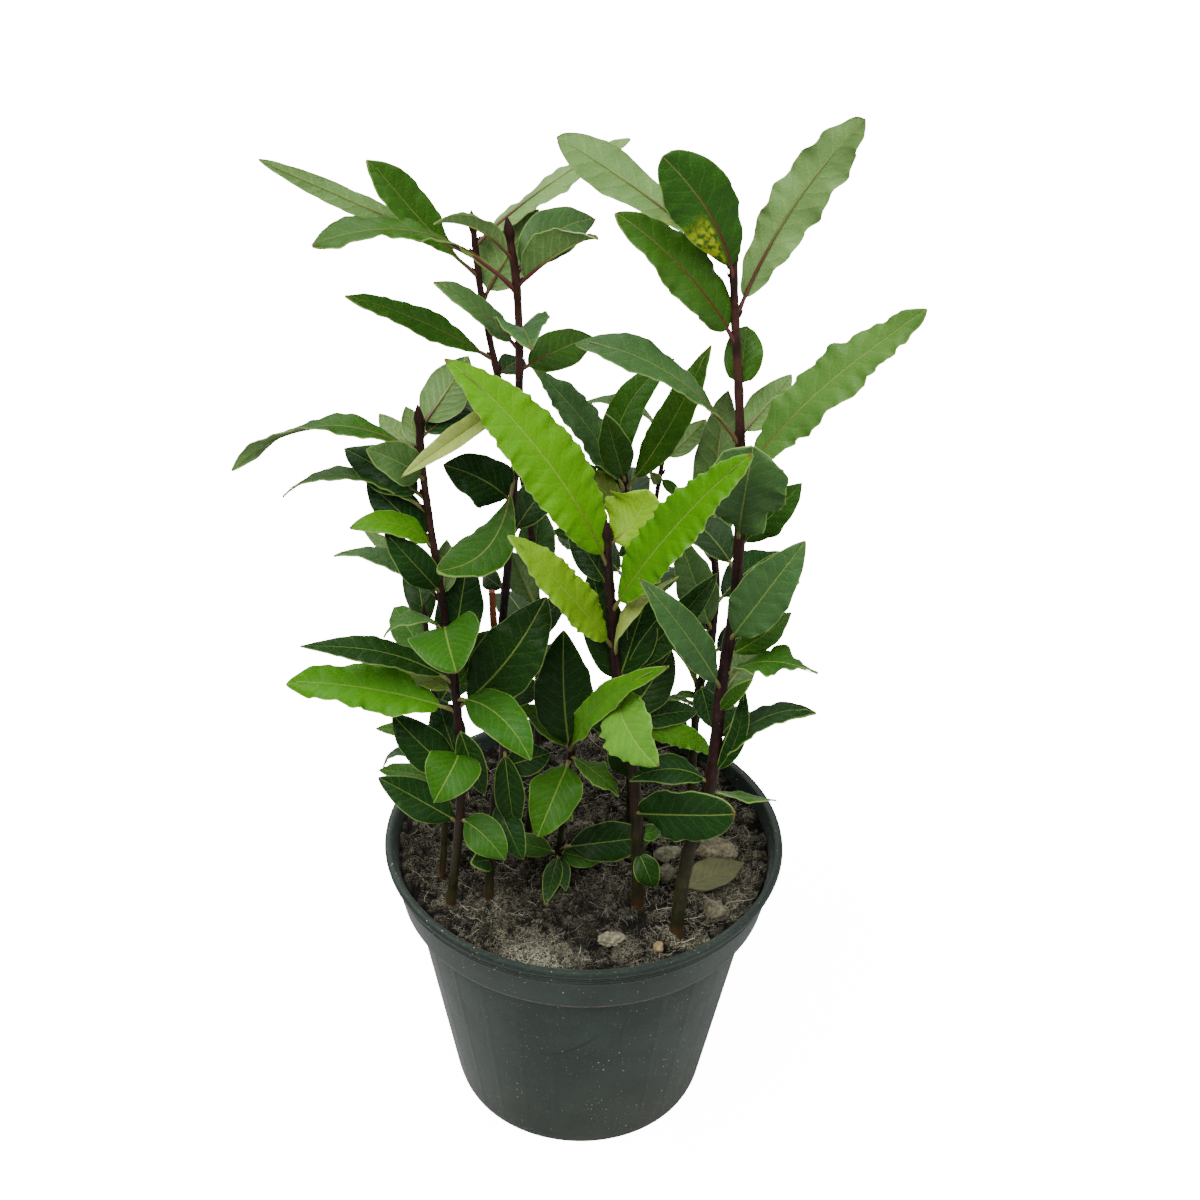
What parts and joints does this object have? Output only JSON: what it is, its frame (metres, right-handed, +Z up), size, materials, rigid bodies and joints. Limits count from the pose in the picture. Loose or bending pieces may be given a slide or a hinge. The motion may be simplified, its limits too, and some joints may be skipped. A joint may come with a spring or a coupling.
{
  "type": "bay laurel in a pot",
  "caption": "Young bay laurel bush with upright leafy stems in a round tapered nursery pot filled with soil.",
  "frame": {"origin": "centre of the pot's flat underside", "axes": "+Z up along the pot's axis, -Y towards the front of the plant, +X to its right as seen from the front"},
  "size_m": [0.2077, 0.14, 0.3863],
  "materials": {
    "pot": "satin",
    "soil": "rough",
    "foliage": "satin",
    "pebble": "rough",
    "dry_leaf": "matte"
  },
  "bodies": {
    "root": {"pot": "pot", "soil": "soil", "stem_left_front": "foliage", "stem_left_low": "foliage", "stem_left_slim": "foliage", "stem_left_tall": "foliage", "stem_middle_front": "foliage", "stem_middle_back": "foliage", "stem_low_shoot": "foliage", "stem_right_tall": "foliage", "stem_right_back": "foliage", "pebble_middle": "pebble", "pebble_large": "pebble", "pebble_dark": "pebble", "clod_right": "soil", "clod_front": "soil", "pebble_ochre": "pebble", "fallen_leaf": "dry_leaf"}
  },
  "joints": []
}
